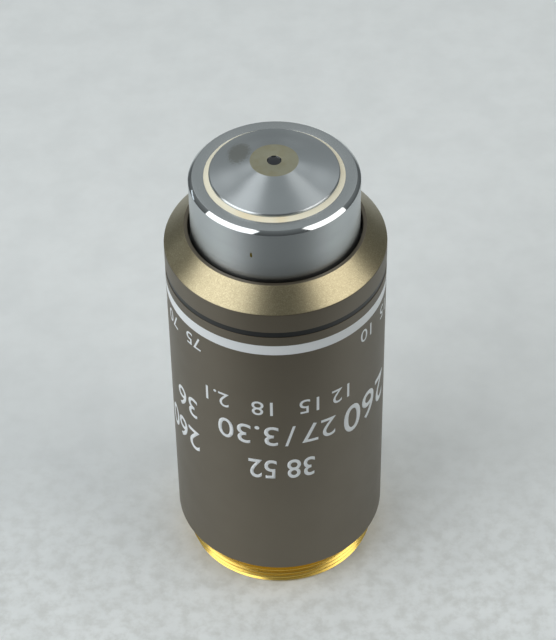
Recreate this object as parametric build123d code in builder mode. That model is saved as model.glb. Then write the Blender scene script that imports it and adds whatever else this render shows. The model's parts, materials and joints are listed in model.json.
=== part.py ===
"""Immersion microscope objective with a spring loaded nose.

Millimetres. The optical axis is Z, the mounting thread's end stands on Z = 0 and the nose points up.
Everything is turned about the axis, so most pieces are a radius and height outline that is revolved.
All radii step out or in from the mounting thread's, and the lens cells fill the tube between the nose
and the lock ring, so a size can be changed by itself and its neighbours follow.
The barrel is a threaded base, an outer sleeve, a front collar and a guide tube. The nose sleeve, the
front cone and the lens tube with its stack of lens cells slide in the guide tube against a spring.
"""

import os
from collections import namedtuple
from math import sqrt

from build123d import *

# Mounting thread, M25 x 0.75, and the brass base that carries it
thread_r = 12.5
thread_length = 4.5
thread_lead = 0.4
thread_relief_width = 0.7
thread_relief_depth = 0.55
thread_wall = 1.6
shoulder_undercut_width = 0.1
shoulder_undercut_depth = 0.1
flange_height = 1.0
spigot_height = 7.0
guide_lip_height = 1.0
guide_lip_clearance = 0.1

# Overall: mounting shoulder to the tip of the nose, and how far the barrel stands out from the thread
parfocal_height = 59.6
barrel_step = 1.25
sleeve_wall = 0.85
foot_wall = 0.4
foot_gap = 0.1
foot_chamfer = 0.12

# Nose: the flat land and the cone of the front cell, then the nose sleeve round it
land_width = 2.05
cone_height = 1.69
cone_edge_chamfer = 0.12
cone_step = 0.58
front_cone_wall = 2.3
seal_width = 0.63
seal_recess = 0.14
seal_height = 1.4
nose_rim_width = 1.87
nose_chamfer = 0.46
nose_reach = 7.67
tube_neck_length = 7.1
stop_flange_height = 1.5

# Front collar, from its lip down to the seam with the sleeve
collar_width = 3.35
nose_gap = 0.33
lip_width = 0.47
rim_height = 2.86
immersion_band_height = 0.88
immersion_band_depth = 0.4
immersion_band_recess = 0.08
band_space = 1.37
magnification_band_height = 1.56
magnification_band_depth = 0.3
magnification_band_recess = 0.02
collar_spigot_height = 5.0
collar_spigot_wall = 0.8
stop_flange_clearance = 0.2

# Lens tube and the guide tube that it slides in
nose_wall = 1.0
tube_neck_wall = 0.9
tube_shoulder = 0.45
tube_top_lip_height = 0.8
tube_top_lip_width = 0.8
running_clearance = 0.05
guide_wall = 1.4
spring_flange_width = 0.8
spring_flange_height = 1.2
stroke = 2.0
tail_clearance = 0.9
tail_recess = 1.2

# Return spring, as it sits between the guide tube and the nose sleeve
spring_length = 11.5
spring_wire_r = 0.5
spring_open_turns = 3
spring_closed_pitch = 2.1 * spring_wire_r
spring_ground = 0.7 * spring_wire_r

# Guide screw, its head let into the guide tube and its dog point in a slot of the lens tube
guide_screw_height = 24.0
guide_pin_r = 0.8
guide_pin_reach = 0.8
guide_pin_clearance = 0.06
guide_slot_depth = 0.95
guide_head_r = 1.5
guide_head_height = 1.1
guide_spot_depth = 0.25
screw_slot_width = 0.4
screw_slot_depth = 0.45

# Three screws that centre the first doublet's cell
centring_screw_count = 3
centring_screw_r = 0.8
centring_screw_recess = 0.2
centring_screw_rise = 1.8
centring_gap = 0.3

# Front lens: the flat face in the land, the 45 degree seat and the dome behind it
lens_face_r = 0.87
lens_face_recess = 0.03
lens_face_depth = 0.25
lens_seat_width = 0.53
front_lens_edge = 0.4
front_lens_dome = 1.05
front_lens_bore = 0.3
front_flare_width = 1.2
front_flare_height = 1.22

# Lock ring under the meniscus cell, in the front cone
front_ring_height = 1.0
front_ring_recess = 0.4
front_ring_wall = 1.8

# Lens cells: the ledge that the glass seats on, and the room kept at each end
ledge_width = 0.4
ledge_height = 0.4
cell_head = 0.8
cell_tail = 0.5

# Walls of the cells, from the bore that each sits in to its glass
meniscus_cell_wall = 1.4
singlet_cell_wall = 3.0
first_cell_wall = 2.0
second_cell_wall = 2.9
rear_cell_wall = 4.3

# Glass, from the nose to the thread: the height of each rim, and how far the middle of each surface
# stands above its rim, or below it if negative
meniscus_rim = 0.9
meniscus_rises = (-0.7, -1.7)
singlet_rim = 1.2
singlet_rises = (-0.35, -1.5)
first_flint_rim = 1.9
first_crown_rim = 1.2
first_doublet_rises = (-0.4, 0.9, -1.8)
second_crown_rim = 1.4
second_flint_rim = 2.4
second_doublet_rises = (1.4, -1.2, 0.4)
rear_crown_rim = 1.3
rear_flint_rim = 3.0
rear_doublet_rises = (0.7, -0.6, 0.9)

# Rings that space, stop and lock the lens stack, and the baffle in the base
spacer_ring_height = 1.6
spacer_ring_wall = 2.0
spacer_tube_wall = 0.8
stop_height = 0.8
stop_aperture_r = 3.0
stop_bevel = 0.4
lock_ring_height = 2.2
lock_ring_wall = 3.5
baffle_recess = 0.9
baffle_height = 2.0
baffle_wall = 5.3
baffle_bevel = 0.8
spanner_slot_width = 1.2
spanner_slot_depth = 0.8

# Radii, from the thread out to the barrel
base_bore_r = thread_r - thread_wall
barrel_r = thread_r + barrel_step
flange_r = barrel_r - foot_wall
sleeve_bore_r = barrel_r - sleeve_wall

# Radii, from the barrel in to the nose and its cone
nose_r = barrel_r - collar_width
collar_bore_r = nose_r + nose_gap
lip_r = collar_bore_r + lip_width
collar_counterbore_r = sleeve_bore_r - collar_spigot_wall
stop_flange_r = collar_counterbore_r - stop_flange_clearance
seal_r = nose_r - nose_rim_width
cone_edge_r = seal_r - seal_width
meniscus_cell_r = cone_edge_r - front_cone_wall
front_lens_r = lens_face_r + lens_seat_width
land_r = lens_face_r + land_width

# Radii, from the nose in to the bore of the lens tube and out to the guide tube and the spring
tube_neck_r = nose_r - nose_wall
tube_bore_r = tube_neck_r - tube_neck_wall
first_cell_r = tube_bore_r - centring_gap
lens_tube_r = tube_neck_r + tube_shoulder
guide_bore_r = lens_tube_r + running_clearance
guide_outer_r = guide_bore_r + guide_wall
spring_flange_r = guide_outer_r + spring_flange_width
spring_mean_r = (lens_tube_r + collar_counterbore_r) / 2

# A lens group: rim radius, the rim height of each glass and the rise of each surface
Group = namedtuple("Group", "rim_r rims rises")
meniscus = Group(meniscus_cell_r - meniscus_cell_wall, [meniscus_rim], meniscus_rises)
singlet = Group(tube_bore_r - singlet_cell_wall, [singlet_rim], singlet_rises)
first_doublet = Group(first_cell_r - first_cell_wall, [first_flint_rim, first_crown_rim], first_doublet_rises)
second_doublet = Group(
    tube_bore_r - second_cell_wall, [second_crown_rim, second_flint_rim], second_doublet_rises
)
rear_doublet = Group(tube_bore_r - rear_cell_wall, [rear_crown_rim, rear_flint_rim], rear_doublet_rises)


def seat_drop(group, mouth_r):
    """How far below its ledge the rim lies, when a domed top touches the edge of a ledge of mouth_r."""
    dome = group.rises[0]
    if dome <= 0:
        return 0.0
    curve_r = (group.rim_r**2 + dome**2) / (2 * dome)
    return sqrt(curve_r**2 - mouth_r**2) - sqrt(curve_r**2 - group.rim_r**2)


def cell_length(group):
    """Length of a cell that holds the group with room above its top and below its last surface."""
    return cell_head + max(group.rises[0], 0) + sum(group.rims) + max(-group.rises[-1], 0) + cell_tail


def rim_top(group, cell_top):
    """Height of the top of a group's rim in its cell."""
    return cell_top - cell_head - max(group.rises[0], 0)


# Heights, from the thread's end up
shoulder_z = thread_length
flange_top_z = shoulder_z + flange_height
spigot_top_z = flange_top_z + spigot_height
guide_seat_z = flange_top_z + guide_lip_height
tail_z = guide_seat_z + stroke + tail_clearance

# Heights, from the tip of the nose down through the front lens and the meniscus to the lens tube
tip_z = shoulder_z + parfocal_height
lens_face_z = tip_z - lens_face_recess
lens_seat_top_z = tip_z - lens_face_depth
lens_seat_bottom_z = lens_seat_top_z - lens_seat_width
dome_rim_z = lens_seat_bottom_z - front_lens_edge
flare_top_z = dome_rim_z - front_lens_bore
meniscus_cell_top_z = flare_top_z - front_flare_height
meniscus_cell_bottom_z = meniscus_cell_top_z - cell_length(meniscus)
front_ring_z = meniscus_cell_bottom_z - front_ring_height
neck_top_z = front_ring_z - front_ring_recess
nose_bottom_z = neck_top_z - tube_neck_length
collar_ledge_z = nose_bottom_z + stop_flange_height
spring_seat_z = nose_bottom_z - spring_length

# Heights, from the tip down over the outside to the lip. The collar's 45 degree cone drops as far as
# it widens, and the bands follow below its rim.
cone_edge_z = tip_z - cone_height
nose_face_z = cone_edge_z - cone_step
seal_top_z = nose_face_z - seal_recess
seal_bottom_z = seal_top_z - seal_height
lip_z = nose_face_z - nose_reach
collar_edge_z = lip_z - (barrel_r - lip_r)
immersion_band_top_z = collar_edge_z - rim_height
seam_z = immersion_band_top_z - immersion_band_height
magnification_band_top_z = seam_z - band_space
magnification_band_bottom_z = magnification_band_top_z - magnification_band_height


def lens(label, rim_r, rim_top_z, rim_height, top_rise, bottom_rise):
    """One glass: two spherical surfaces and a ground rim."""
    rim_bottom_z = rim_top_z - rim_height
    top_middle = (0, rim_top_z + top_rise)
    bottom_middle = (0, rim_bottom_z + bottom_rise)
    with BuildPart() as glass:
        with BuildSketch(Plane.XZ):
            with BuildLine():
                TangentArc(top_middle, (rim_r, rim_top_z), tangent=(1, 0))
                Line((rim_r, rim_top_z), (rim_r, rim_bottom_z))
                TangentArc(bottom_middle, (rim_r, rim_bottom_z), tangent=(1, 0))
                Line(bottom_middle, top_middle)
            make_face()
        revolve(axis=Axis.Z)
    glass.part.label = label
    return glass


def lens_cell(label, group, outer_r, top_z):
    """The turned ring that holds a lens group: a mouth at the top, a ledge and an open pocket below."""
    mouth_r = group.rim_r - ledge_width
    ledge_z = rim_top(group, top_z) + seat_drop(group, mouth_r)
    bottom_z = top_z - cell_length(group)
    with BuildPart() as cell:
        with BuildSketch(Plane.XZ):
            with BuildLine():
                Polyline(
                    (outer_r, bottom_z),
                    (outer_r, top_z),
                    (group.rim_r, top_z),
                    (mouth_r, ledge_z + ledge_height),
                    (mouth_r, ledge_z),
                    (group.rim_r, ledge_z),
                    (group.rim_r, bottom_z),
                    close=True,
                )
            make_face()
        revolve(axis=Axis.Z)
    cell.part.label = label
    return cell


def plain_ring(label, bottom_z, height, outer_r, inner_r):
    """A turned ring of rectangular section."""
    with BuildPart() as ring:
        with BuildSketch(Plane.XY.offset(bottom_z)):
            Circle(outer_r)
            Circle(inner_r, mode=Mode.SUBTRACT)
        extrude(amount=height)
    ring.part.label = label
    return ring


def lock_ring(label, bottom_z, height, outer_r, inner_r, bevel=0.0):
    """A retaining ring with a spanner slot across its lower face and a bevel round its bore."""
    with BuildPart() as ring:
        with BuildSketch(Plane.XY.offset(bottom_z)):
            Circle(outer_r)
            Circle(inner_r, mode=Mode.SUBTRACT)
        extrude(amount=height)
        if bevel:
            lower_edges = ring.edges().filter_by(GeomType.CIRCLE).group_by(Axis.Z)[0]
            chamfer(lower_edges.sort_by(SortBy.RADIUS)[0], length=bevel)
        with BuildSketch(Plane.XY.offset(bottom_z)):
            Rectangle(3 * outer_r, spanner_slot_width)
        extrude(amount=spanner_slot_depth, mode=Mode.SUBTRACT)
    ring.part.label = label
    return ring


pieces = []

# Threaded base: thread, relief groove, shoulder flange, spigot for the sleeve, lip under the guide tube.
# The groove runs a little way up into the flange, so that the shoulder's flat clears the thread.
thread_top_z = shoulder_z - thread_relief_width
relief_r = thread_r - thread_relief_depth
shoulder_inner_r = thread_r + shoulder_undercut_width
lip_bore_r = guide_bore_r + guide_lip_clearance
with BuildPart() as threaded_base:
    with BuildSketch(Plane.XZ):
        with BuildLine():
            Polyline(
                (base_bore_r, 0),
                (thread_r - thread_lead, 0),
                (thread_r, thread_lead),
                (thread_r, thread_top_z),
                (relief_r, thread_top_z),
                (relief_r, shoulder_z + shoulder_undercut_depth),
                (shoulder_inner_r, shoulder_z + shoulder_undercut_depth),
                (shoulder_inner_r, shoulder_z),
                (flange_r, shoulder_z),
                (flange_r, flange_top_z),
                (sleeve_bore_r, flange_top_z),
                (sleeve_bore_r, spigot_top_z),
                (guide_outer_r, spigot_top_z),
                (guide_outer_r, guide_seat_z),
                (lip_bore_r, guide_seat_z),
                (lip_bore_r, flange_top_z),
                (base_bore_r, flange_top_z),
                close=True,
            )
        make_face()
    revolve(axis=Axis.Z)
threaded_base.part.label = "threaded_base"
pieces.append(threaded_base)

# Outer sleeve: a foot with a chamfer that goes over the base's flange, and the white band's groove
foot_z = shoulder_z + foot_gap
with BuildPart() as outer_sleeve:
    with BuildSketch(Plane.XY.offset(foot_z)):
        Circle(barrel_r)
    extrude(amount=seam_z - foot_z)
    chamfer(outer_sleeve.edges().group_by(Axis.Z)[0], length=foot_chamfer)
    with BuildSketch(Plane.XY.offset(foot_z)):
        Circle(flange_r)
    extrude(amount=flange_top_z - foot_z, mode=Mode.SUBTRACT)
    with BuildSketch(Plane.XY.offset(flange_top_z)):
        Circle(sleeve_bore_r)
    extrude(amount=seam_z - flange_top_z, mode=Mode.SUBTRACT)
    with BuildSketch(Plane.XY.offset(magnification_band_bottom_z)):
        Circle(barrel_r + sleeve_wall)
        Circle(barrel_r - magnification_band_depth, mode=Mode.SUBTRACT)
    extrude(amount=magnification_band_height, mode=Mode.SUBTRACT)
outer_sleeve.part.label = "outer_sleeve"
pieces.append(outer_sleeve)

pieces.append(
    plain_ring(
        "magnification_band",
        magnification_band_bottom_z,
        magnification_band_height,
        barrel_r - magnification_band_recess,
        barrel_r - magnification_band_depth,
    )
)

# Front collar: spigot in the sleeve, rebate for the black band, rim, 45 degree cone, lip, nose bore
rebate_r = barrel_r - immersion_band_depth
with BuildPart() as front_collar:
    with BuildSketch(Plane.XZ):
        with BuildLine():
            Polyline(
                (collar_counterbore_r, seam_z - collar_spigot_height),
                (sleeve_bore_r, seam_z - collar_spigot_height),
                (sleeve_bore_r, seam_z),
                (rebate_r, seam_z),
                (rebate_r, immersion_band_top_z),
                (barrel_r, immersion_band_top_z),
                (barrel_r, collar_edge_z),
                (lip_r, lip_z),
                (collar_bore_r, lip_z),
                (collar_bore_r, collar_ledge_z),
                (collar_counterbore_r, collar_ledge_z),
                close=True,
            )
        make_face()
    revolve(axis=Axis.Z)
front_collar.part.label = "front_collar"
pieces.append(front_collar)

pieces.append(
    plain_ring(
        "immersion_band",
        seam_z,
        immersion_band_height,
        barrel_r - immersion_band_recess,
        rebate_r,
    )
)

# Guide tube: stands on the base's lip, carries the spring on its top flange and the guide screw
with BuildPart() as guide_tube:
    with BuildSketch(Plane.XY.offset(guide_seat_z)):
        Circle(guide_outer_r)
    extrude(amount=spring_seat_z - guide_seat_z)
    with BuildSketch(Plane.XY.offset(spring_seat_z - spring_flange_height)):
        Circle(spring_flange_r)
    extrude(amount=spring_flange_height)
    with BuildSketch(Plane.XY.offset(guide_seat_z)):
        Circle(guide_bore_r)
    extrude(amount=spring_seat_z - guide_seat_z, mode=Mode.SUBTRACT)
    spot_y = guide_outer_r - guide_spot_depth
    with BuildSketch(Plane(origin=(0, spot_y, guide_screw_height), x_dir=(1, 0, 0), z_dir=(0, 1, 0))):
        Circle(guide_head_r)
    extrude(amount=guide_wall, mode=Mode.SUBTRACT)
    with BuildSketch(Plane(origin=(0, spot_y, guide_screw_height), x_dir=(1, 0, 0), z_dir=(0, 1, 0))):
        Circle(guide_pin_r)
    extrude(amount=-2 * guide_wall, mode=Mode.SUBTRACT)
guide_tube.part.label = "guide_tube"
pieces.append(guide_tube)

# Guide screw: slotted head on the spot face, dog point in the lens tube's slot
pin_tip_y = guide_bore_r - guide_pin_reach
with BuildPart() as guide_screw:
    with BuildSketch(Plane(origin=(0, pin_tip_y, guide_screw_height), x_dir=(1, 0, 0), z_dir=(0, 1, 0))):
        Circle(guide_pin_r)
    extrude(amount=spot_y - pin_tip_y)
    with BuildSketch(Plane(origin=(0, spot_y, guide_screw_height), x_dir=(1, 0, 0), z_dir=(0, 1, 0))):
        Circle(guide_head_r)
    extrude(amount=guide_head_height)
    head_top_y = spot_y + guide_head_height
    with BuildSketch(Plane(origin=(0, head_top_y, guide_screw_height), x_dir=(1, 0, 0), z_dir=(0, 1, 0))):
        Rectangle(3 * guide_head_r, screw_slot_width)
    extrude(amount=-screw_slot_depth, mode=Mode.SUBTRACT)
guide_screw.part.label = "guide_screw"
pieces.append(guide_screw)

# Return spring: one closed turn at each end, open turns between, both ends ground flat
first_turn_z = spring_seat_z + spring_wire_r - spring_ground
open_start_z = first_turn_z + spring_closed_pitch
last_turn_z = nose_bottom_z - spring_wire_r + spring_ground - spring_closed_pitch
open_rise = last_turn_z - open_start_z
with BuildPart() as return_spring:
    with BuildLine() as wire_path:
        Helix(spring_closed_pitch, spring_closed_pitch, spring_mean_r, center=(0, 0, first_turn_z))
        Helix(open_rise / spring_open_turns, open_rise, spring_mean_r, center=(0, 0, open_start_z))
        Helix(spring_closed_pitch, spring_closed_pitch, spring_mean_r, center=(0, 0, last_turn_z))
    with BuildSketch(wire_path.line ^ 0):
        Circle(spring_wire_r)
    sweep(path=wire_path.line, is_frenet=True)
    split(bisect_by=Plane.XY.offset(spring_seat_z), keep=Keep.TOP)
    split(bisect_by=Plane.XY.offset(nose_bottom_z), keep=Keep.BOTTOM)
return_spring.part.label = "return_spring"
pieces.append(return_spring)

# Nose sleeve: chamfered face, bore for the seal and the front cone, wider bore for the lens tube's
# neck, and the stop flange that rests under the collar's ledge
with BuildPart() as nose_sleeve:
    with BuildSketch(Plane.XZ):
        with BuildLine():
            Polyline(
                (tube_neck_r, nose_bottom_z),
                (stop_flange_r, nose_bottom_z),
                (stop_flange_r, collar_ledge_z),
                (nose_r, collar_ledge_z),
                (nose_r, nose_face_z - nose_chamfer),
                (nose_r - nose_chamfer, nose_face_z),
                (seal_r, nose_face_z),
                (seal_r, neck_top_z),
                (tube_neck_r, neck_top_z),
                close=True,
            )
        make_face()
    revolve(axis=Axis.Z)
nose_sleeve.part.label = "nose_sleeve"
pieces.append(nose_sleeve)

pieces.append(plain_ring("seal_ring", seal_bottom_z, seal_height, seal_r, cone_edge_r))

# Front lens: small flat face, 45 degree seat, ground edge and a deep dome towards the stack
with BuildPart() as front_lens:
    with BuildSketch(Plane.XZ):
        with BuildLine():
            Polyline(
                (0, dome_rim_z - front_lens_dome),
                (0, lens_face_z),
                (lens_face_r, lens_face_z),
                (lens_face_r, lens_seat_top_z),
                (front_lens_r, lens_seat_bottom_z),
                (front_lens_r, dome_rim_z),
            )
            TangentArc((0, dome_rim_z - front_lens_dome), (front_lens_r, dome_rim_z), tangent=(1, 0))
        make_face()
    revolve(axis=Axis.Z)
front_lens.part.label = "front_lens"
pieces.append(front_lens)

# Front cone: the cell of the front lens and of the meniscus cell, screwed up into the nose sleeve
with BuildPart() as front_cone:
    with BuildSketch(Plane.XZ):
        with BuildLine():
            Polyline(
                (lens_face_r, tip_z),
                (land_r, tip_z),
                (cone_edge_r, cone_edge_z),
                (cone_edge_r, seal_bottom_z),
                (seal_r, seal_bottom_z),
                (seal_r, neck_top_z),
                (meniscus_cell_r, neck_top_z),
                (meniscus_cell_r, meniscus_cell_top_z),
                (front_lens_r + front_flare_width, meniscus_cell_top_z),
                (front_lens_r, flare_top_z),
                (front_lens_r, lens_seat_bottom_z),
                (lens_face_r, lens_seat_top_z),
                close=True,
            )
        make_face()
    revolve(axis=Axis.Z)
    cone_face = front_cone.faces().filter_by(GeomType.CONE).sort_by(SortBy.AREA)[-1]
    cone_edge = cone_face.edges().filter_by(GeomType.CIRCLE).sort_by(SortBy.RADIUS)[-1]
    chamfer(cone_edge, length=cone_edge_chamfer)
front_cone.part.label = "front_cone"
pieces.append(front_cone)

pieces.append(lens_cell("meniscus_cell", meniscus, meniscus_cell_r, meniscus_cell_top_z))
pieces.append(
    lock_ring(
        "front_lock_ring", front_ring_z, front_ring_height, meniscus_cell_r, meniscus_cell_r - front_ring_wall
    )
)


def lens_group(group, labels, cell_top_z):
    """The glasses of one group, cemented rim to rim under the ledge of their cell."""
    rim_top_z = rim_top(group, cell_top_z)
    glasses = []
    for index, label in enumerate(labels):
        rim_height = group.rims[index]
        glasses.append(
            lens(label, group.rim_r, rim_top_z, rim_height, group.rises[index], group.rises[index + 1])
        )
        rim_top_z -= rim_height
    return glasses


pieces += lens_group(meniscus, ["meniscus_lens"], meniscus_cell_top_z)

# The stack in the lens tube, from the lip at its top down to the first spacer
singlet_cell_top_z = neck_top_z - tube_top_lip_height
first_cell_top_z = singlet_cell_top_z - cell_length(singlet)
first_cell_bottom_z = first_cell_top_z - cell_length(first_doublet)
spacer_ring_z = first_cell_bottom_z - spacer_ring_height
second_cell_bottom_z = spacer_ring_z - cell_length(second_doublet)

# and from the lock ring at its tail up to the rear cell; the spacer tube fills what is between
lock_ring_z = tail_z + tail_recess
stop_z = lock_ring_z + lock_ring_height
rear_cell_bottom_z = stop_z + stop_height
rear_cell_top_z = rear_cell_bottom_z + cell_length(rear_doublet)

pieces.append(lens_cell("singlet_cell", singlet, tube_bore_r, singlet_cell_top_z))
pieces += lens_group(singlet, ["singlet_lens"], singlet_cell_top_z)
pieces.append(lens_cell("first_doublet_cell", first_doublet, first_cell_r, first_cell_top_z))
pieces += lens_group(first_doublet, ["first_doublet_flint", "first_doublet_crown"], first_cell_top_z)
pieces.append(
    plain_ring("spacer_ring", spacer_ring_z, spacer_ring_height, tube_bore_r, tube_bore_r - spacer_ring_wall)
)
pieces.append(lens_cell("second_doublet_cell", second_doublet, tube_bore_r, spacer_ring_z))
pieces += lens_group(second_doublet, ["second_doublet_crown", "second_doublet_flint"], spacer_ring_z)
pieces.append(
    plain_ring(
        "spacer_tube",
        rear_cell_top_z,
        second_cell_bottom_z - rear_cell_top_z,
        tube_bore_r,
        tube_bore_r - spacer_tube_wall,
    )
)
pieces.append(lens_cell("rear_doublet_cell", rear_doublet, tube_bore_r, rear_cell_top_z))
pieces += lens_group(rear_doublet, ["rear_doublet_crown", "rear_doublet_flint"], rear_cell_top_z)

# Aperture stop: a thin disc, bevelled behind its hole
with BuildPart() as aperture_stop:
    with BuildSketch(Plane.XY.offset(stop_z)):
        Circle(tube_bore_r)
        Circle(stop_aperture_r, mode=Mode.SUBTRACT)
    extrude(amount=stop_height)
    lower_edges = aperture_stop.edges().filter_by(GeomType.CIRCLE).group_by(Axis.Z)[0]
    chamfer(lower_edges.sort_by(SortBy.RADIUS)[0], length=stop_bevel)
aperture_stop.part.label = "aperture_stop"
pieces.append(aperture_stop)

pieces.append(
    lock_ring("tube_lock_ring", lock_ring_z, lock_ring_height, tube_bore_r, tube_bore_r - lock_ring_wall)
)
pieces.append(
    lock_ring(
        "rear_baffle", baffle_recess, baffle_height, base_bore_r, base_bore_r - baffle_wall, baffle_bevel
    )
)

# Centring screws: slotted grub screws through the lens tube's wall, on the first doublet's cell
centring_screw_z = first_cell_bottom_z + centring_screw_rise
centring_outer_r = lens_tube_r - centring_screw_recess


def radial_plane(index, distance):
    """Plane across one centring screw at a distance from the axis, its normal pointing outwards."""
    around = Location((0, 0, centring_screw_z), (0, 0, 360 / centring_screw_count * index))
    turned = Plane(around)
    return Plane(origin=turned.origin + turned.x_dir * distance, x_dir=turned.y_dir, z_dir=turned.x_dir)


with BuildPart() as centring_screws:
    for index in range(centring_screw_count):
        with BuildSketch(radial_plane(index, first_cell_r)):
            Circle(centring_screw_r)
        extrude(amount=centring_outer_r - first_cell_r)
        with BuildSketch(radial_plane(index, centring_outer_r)):
            Rectangle(3 * centring_screw_r, screw_slot_width)
        extrude(amount=-screw_slot_depth, mode=Mode.SUBTRACT)
centring_screws.part.label = "centring_screws"
pieces.append(centring_screws)

# Lens tube: sliding barrel, neck for the nose sleeve, lip over the stack, slot for the guide screw
slot_floor_y = lens_tube_r - guide_slot_depth
slot_half_width = guide_pin_r + guide_pin_clearance
with BuildPart() as lens_tube:
    with BuildSketch(Plane.XZ):
        with BuildLine():
            Polyline(
                (tube_bore_r, tail_z),
                (lens_tube_r, tail_z),
                (lens_tube_r, nose_bottom_z),
                (tube_neck_r, nose_bottom_z),
                (tube_neck_r, neck_top_z),
                (tube_bore_r - tube_top_lip_width, neck_top_z),
                (tube_bore_r - tube_top_lip_width, singlet_cell_top_z),
                (tube_bore_r, singlet_cell_top_z),
                close=True,
            )
        make_face()
    revolve(axis=Axis.Z)
    slot_middle_z = guide_screw_height + stroke / 2
    with BuildSketch(Plane(origin=(0, slot_floor_y, slot_middle_z), x_dir=(0, 0, 1), z_dir=(0, 1, 0))):
        SlotCenterToCenter(stroke, 2 * slot_half_width)
    extrude(amount=2 * guide_slot_depth, mode=Mode.SUBTRACT)
    for index in range(centring_screw_count):
        with BuildSketch(radial_plane(index, first_cell_r)):
            Circle(centring_screw_r)
        extrude(amount=2 * (lens_tube_r - first_cell_r), mode=Mode.SUBTRACT)
lens_tube.part.label = "lens_tube"
pieces.append(lens_tube)

os.makedirs("parts", exist_ok=True)
for piece in pieces:
    export_step(piece.part, f"parts/{piece.part.label}.step")
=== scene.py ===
# %% [markdown]
# # A microscope objective
#
# An immersion objective stands on its mounting thread with the nose up. Nearly every piece of it was
# turned on a lathe, so this lesson is mostly about one idea: draw half of a section, round its corners,
# and spin it. The finishes come after the forms, and the light comes last.
#
# The sizes are real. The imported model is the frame, and nothing here moves or resizes it.

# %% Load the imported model
import json
import math

import bmesh
import bpy
from mathutils import Matrix, Vector

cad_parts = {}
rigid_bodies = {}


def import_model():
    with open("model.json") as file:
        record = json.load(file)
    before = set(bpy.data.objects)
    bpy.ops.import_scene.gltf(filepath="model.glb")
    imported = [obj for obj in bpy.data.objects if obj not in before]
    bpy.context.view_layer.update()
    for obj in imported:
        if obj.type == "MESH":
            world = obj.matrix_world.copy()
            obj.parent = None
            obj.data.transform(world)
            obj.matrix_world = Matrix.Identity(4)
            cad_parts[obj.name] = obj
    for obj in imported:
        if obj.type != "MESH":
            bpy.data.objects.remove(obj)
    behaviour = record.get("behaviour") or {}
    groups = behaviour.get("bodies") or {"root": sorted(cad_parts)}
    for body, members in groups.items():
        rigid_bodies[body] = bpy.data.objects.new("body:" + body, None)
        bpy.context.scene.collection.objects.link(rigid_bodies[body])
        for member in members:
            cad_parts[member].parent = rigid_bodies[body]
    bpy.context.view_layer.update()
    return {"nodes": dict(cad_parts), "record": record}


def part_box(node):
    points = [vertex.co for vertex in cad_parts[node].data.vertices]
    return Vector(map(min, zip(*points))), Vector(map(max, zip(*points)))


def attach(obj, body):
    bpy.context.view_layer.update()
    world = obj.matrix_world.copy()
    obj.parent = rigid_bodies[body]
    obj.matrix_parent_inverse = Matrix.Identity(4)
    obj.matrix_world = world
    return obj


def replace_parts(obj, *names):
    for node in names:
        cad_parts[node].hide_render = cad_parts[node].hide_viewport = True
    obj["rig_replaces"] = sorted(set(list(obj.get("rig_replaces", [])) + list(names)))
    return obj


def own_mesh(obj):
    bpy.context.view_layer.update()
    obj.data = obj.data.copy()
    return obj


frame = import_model()
MM = 0.001
node_slot = {part["node"]: part["material_slot"] for part in frame["record"]["subparts"]}
print("CAD nodes:", len(frame["nodes"]))


def outer_radius(node):
    """Radius of a round node about the optical axis, in millimetres."""
    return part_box(node)[1].x / MM


def heights(node):
    """Lowest and highest point of a node, in millimetres."""
    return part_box(node)[0].z / MM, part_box(node)[1].z / MM


# %% [markdown]
# ## The camera
#
# The photograph looks down on the objective at about 45 degrees through a long lens. The camera's place
# and turn were fitted to the ellipses of the nose, the collar and the bands. It is set before anything
# else, because each later choice is judged through it.

# %% Camera
IMAGE_HEIGHT = 640
FOCAL_PX = 2310.2
AIM_HEIGHT = 0.032
AIM_DISTANCE = 0.29757
ELEVATION = math.radians(45.397)
PAN, TILT, ROLL = (math.radians(a) for a in (-0.027, -0.733, -0.983))

camera_data = bpy.data.cameras.new("camera")
camera = bpy.data.objects.new("camera", camera_data)
bpy.context.scene.collection.objects.link(camera)
bpy.context.scene.camera = camera
camera_data.sensor_fit = "VERTICAL"
camera_data.lens = FOCAL_PX / IMAGE_HEIGHT * camera_data.sensor_height
camera_data.clip_start, camera_data.clip_end = 0.01, 20
camera.location = (0, -AIM_DISTANCE * math.cos(ELEVATION), AIM_HEIGHT + AIM_DISTANCE * math.sin(ELEVATION))
level = Matrix.Rotation(math.pi / 2 - ELEVATION, 3, "X")
small_turns = Matrix.Rotation(PAN, 3, "Y") @ Matrix.Rotation(-TILT, 3, "X") @ Matrix.Rotation(ROLL, 3, "Z")
camera.rotation_mode = "QUATERNION"
camera.rotation_quaternion = (level @ small_turns).to_quaternion()
print("camera at", [round(c, 4) for c in camera.location])

# %% [markdown]
# ## Turning a piece
#
# A turned piece is a closed outline of radius and height, swept once round the axis. The outline starts
# as a few vertices and one face. Bevelling the face's corners first gives every edge its small radius, as
# the real edges have after deburring, and it costs nothing to do before the spin. The face goes, its
# border is spun, and the seam is merged. Weighted normals keep the flats flat beside the round edges.

# %% Lathe helpers
TURN_STEPS = 192
ROUND_SEGMENTS = 3
SHARP_ANGLE = math.radians(40)
SAME_POINT = 1e-8


def new_piece(name, bm, body, smooth=True, sharp=SHARP_ANGLE):
    """Makes an object at the origin from a finished bmesh, and lets it ride on a body."""
    mesh = bpy.data.meshes.new(name)
    bm.to_mesh(mesh)
    bm.free()
    if smooth:
        mesh.shade_smooth()
        mesh.set_sharp_from_angle(angle=sharp)
    piece = bpy.data.objects.new(name, mesh)
    bpy.context.scene.collection.objects.link(piece)
    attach(piece, body)
    return piece


def even_flats(piece):
    """Lets the large faces set the shading beside small rounded edges."""
    weighting = piece.modifiers.new("even_flats", "WEIGHTED_NORMAL")
    weighting.keep_sharp = True


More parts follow.
